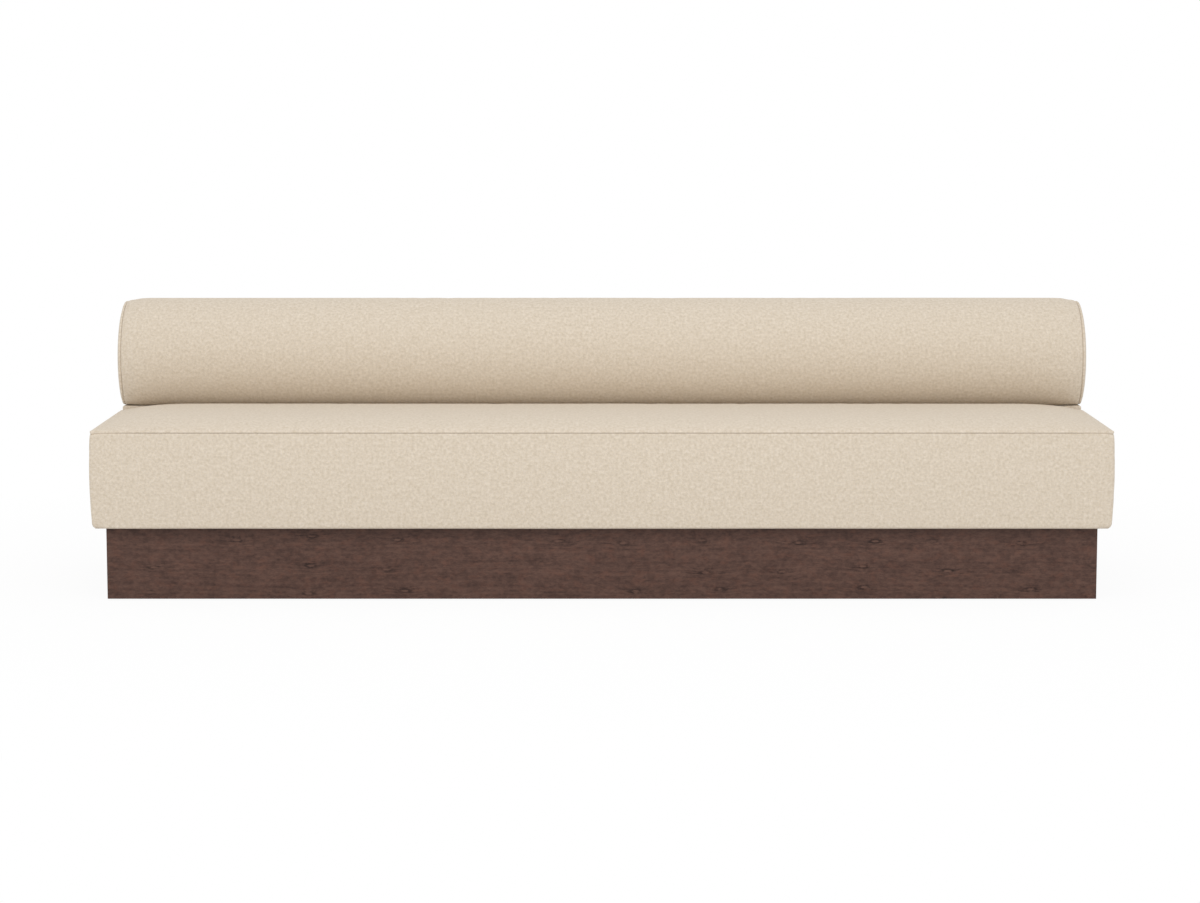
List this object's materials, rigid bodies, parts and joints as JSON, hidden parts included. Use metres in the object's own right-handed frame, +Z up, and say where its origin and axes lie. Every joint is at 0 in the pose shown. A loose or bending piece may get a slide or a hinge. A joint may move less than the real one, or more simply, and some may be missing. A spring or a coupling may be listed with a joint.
{
  "type": "banquette bench",
  "caption": "Long armless upholstered banquette with a tight crowned box seat, a round bolster as its back and a recessed wooden plinth on levelling feet.",
  "frame": {"origin": "on the floor under the middle of the bench, halfway along its length and its depth", "axes": "+X along the seat to the right of someone who faces the bench, -Y out of its front, +Z up"},
  "size_m": [2.756, 0.8167, 0.773],
  "materials": {
    "walnut_veneer": "dark walnut veneer, open grained, satin lacquer",
    "plywood": "raw birch plywood",
    "softwood": "planed pine",
    "zinc_steel": "zinc plated",
    "insert_brass": "plain",
    "nylon": "moulded, matt",
    "lining": "thin black non-woven lining",
    "webbing": "woven elastic webbing",
    "paper_tube": "spiral-wound paper board",
    "wadding": "soft white polyester wadding",
    "foam": "open-cell upholstery foam",
    "cover_fabric": "heavy heathered oatmeal weave, matt"
  },
  "bodies": {
    "bench": {"plinth_front_panel": "walnut_veneer", "plinth_back_panel": "walnut_veneer", "plinth_left_panel": "walnut_veneer", "plinth_right_panel": "walnut_veneer", "plinth_webs": "plywood", "plinth_battens": "softwood", "foot_blocks": "softwood", "foot_inserts": "zinc_steel", "seat_front_rail": "softwood", "seat_middle_rail": "softwood", "seat_back_rail": "softwood", "seat_left_rail": "softwood", "seat_right_rail": "softwood", "seat_cross_rails": "softwood", "seat_bolts": "zinc_steel", "seat_bolt_washers": "zinc_steel", "seat_inserts": "insert_brass", "dust_cover": "lining", "webbing_lengthwise": "webbing", "webbing_cross": "webbing", "seat_foam": "foam", "seat_wadding": "wadding", "border_foam_front": "foam", "border_foam_back": "foam", "border_foam_left": "foam", "border_foam_right": "foam", "riser_front_board": "plywood", "riser_back_board": "plywood", "riser_left_board": "plywood", "riser_right_board": "plywood", "riser_ribs": "plywood", "riser_top_board": "plywood", "riser_pad": "foam", "riser_cover": "cover_fabric", "seat_border_cover": "cover_fabric", "seat_top_cover": "cover_fabric", "bolster_core_tube": "paper_tube", "bolster_bulkheads": "plywood", "bolster_fixing_blocks": "softwood", "bolster_foam": "foam", "bolster_end_pad_left": "foam", "bolster_end_pad_right": "foam", "bolster_cover": "cover_fabric", "bolster_cap_left": "cover_fabric", "bolster_cap_right": "cover_fabric", "bolster_bolts": "zinc_steel", "bolster_bolt_washers": "zinc_steel", "bolster_inserts": "insert_brass"},
    "pad_1": {"foot_pad_1": "nylon"},
    "stem_1": {"foot_stem_1": "zinc_steel"},
    "pad_2": {"foot_pad_2": "nylon"},
    "stem_2": {"foot_stem_2": "zinc_steel"},
    "pad_3": {"foot_pad_3": "nylon"},
    "stem_3": {"foot_stem_3": "zinc_steel"},
    "pad_4": {"foot_pad_4": "nylon"},
    "stem_4": {"foot_stem_4": "zinc_steel"},
    "pad_5": {"foot_pad_5": "nylon"},
    "stem_5": {"foot_stem_5": "zinc_steel"},
    "pad_6": {"foot_pad_6": "nylon"},
    "stem_6": {"foot_stem_6": "zinc_steel"}
  },
  "joints": [
    {"name": "foot_1_travel", "type": "slide", "parent": "bench", "child": "pad_1", "axis": [0, 0, -1], "range_m": [0, 0.015]},
    {"name": "foot_1_turn", "type": "hinge", "parent": "pad_1", "child": "stem_1", "pos_m": [-1.296, -0.33005, 0.008], "axis": [0, 0, -1], "range_deg": [0, 4320]},
    {"name": "foot_2_travel", "type": "slide", "parent": "bench", "child": "pad_2", "axis": [0, 0, -1], "range_m": [0, 0.015]},
    {"name": "foot_2_turn", "type": "hinge", "parent": "pad_2", "child": "stem_2", "pos_m": [0, -0.33005, 0.008], "axis": [0, 0, -1], "range_deg": [0, 4320]},
    {"name": "foot_3_travel", "type": "slide", "parent": "bench", "child": "pad_3", "axis": [0, 0, -1], "range_m": [0, 0.015]},
    {"name": "foot_3_turn", "type": "hinge", "parent": "pad_3", "child": "stem_3", "pos_m": [1.296, -0.33005, 0.008], "axis": [0, 0, -1], "range_deg": [0, 4320]},
    {"name": "foot_4_travel", "type": "slide", "parent": "bench", "child": "pad_4", "axis": [0, 0, -1], "range_m": [0, 0.015]},
    {"name": "foot_4_turn", "type": "hinge", "parent": "pad_4", "child": "stem_4", "pos_m": [-1.296, 0.32895, 0.008], "axis": [0, 0, -1], "range_deg": [0, 4320]},
    {"name": "foot_5_travel", "type": "slide", "parent": "bench", "child": "pad_5", "axis": [0, 0, -1], "range_m": [0, 0.015]},
    {"name": "foot_5_turn", "type": "hinge", "parent": "pad_5", "child": "stem_5", "pos_m": [0, 0.32895, 0.008], "axis": [0, 0, -1], "range_deg": [0, 4320]},
    {"name": "foot_6_travel", "type": "slide", "parent": "bench", "child": "pad_6", "axis": [0, 0, -1], "range_m": [0, 0.015]},
    {"name": "foot_6_turn", "type": "hinge", "parent": "pad_6", "child": "stem_6", "pos_m": [1.296, 0.32895, 0.008], "axis": [0, 0, -1], "range_deg": [0, 4320]}
  ],
  "couplings": [
    {"joint": "foot_1_turn", "follows": "foot_1_travel", "rad_per_m": 5026.5},
    {"joint": "foot_2_turn", "follows": "foot_2_travel", "rad_per_m": 5026.5},
    {"joint": "foot_3_turn", "follows": "foot_3_travel", "rad_per_m": 5026.5},
    {"joint": "foot_4_turn", "follows": "foot_4_travel", "rad_per_m": 5026.5},
    {"joint": "foot_5_turn", "follows": "foot_5_travel", "rad_per_m": 5026.5},
    {"joint": "foot_6_turn", "follows": "foot_6_travel", "rad_per_m": 5026.5}
  ]
}
